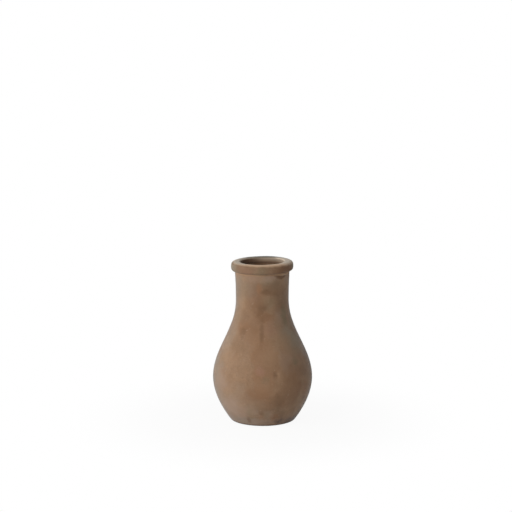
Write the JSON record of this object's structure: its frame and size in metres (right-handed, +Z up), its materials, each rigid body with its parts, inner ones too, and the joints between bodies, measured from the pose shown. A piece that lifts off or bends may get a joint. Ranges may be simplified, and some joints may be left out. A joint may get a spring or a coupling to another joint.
{
  "type": "bud vase",
  "caption": "Small unglazed terracotta bud vase with a round belly, a slim flared neck and a thick rolled rim.",
  "frame": {"origin": "on the surface that the vase stands on, under the middle of its foot", "axes": "+Z up along the axis that the vase was thrown on; -Y faces the viewer of the picture and +X is to their right"},
  "size_m": [0.0936, 0.0936, 0.1527],
  "materials": {
    "clay": "matt unglazed terracotta, mottled brown and grey",
    "rim_clay": "matt unglazed terracotta with a dusty bloom",
    "slip": "matt dried slip",
    "sealer": "satin waterproof coat",
    "felt": "pressed felt"
  },
  "bodies": {
    "root": {"clay_vessel": "clay", "rim_coil": "rim_clay", "luting_slip": "slip", "waterproof_coat": "sealer", "felt_dot_1": "felt", "felt_dot_2": "felt", "felt_dot_3": "felt"}
  },
  "joints": []
}
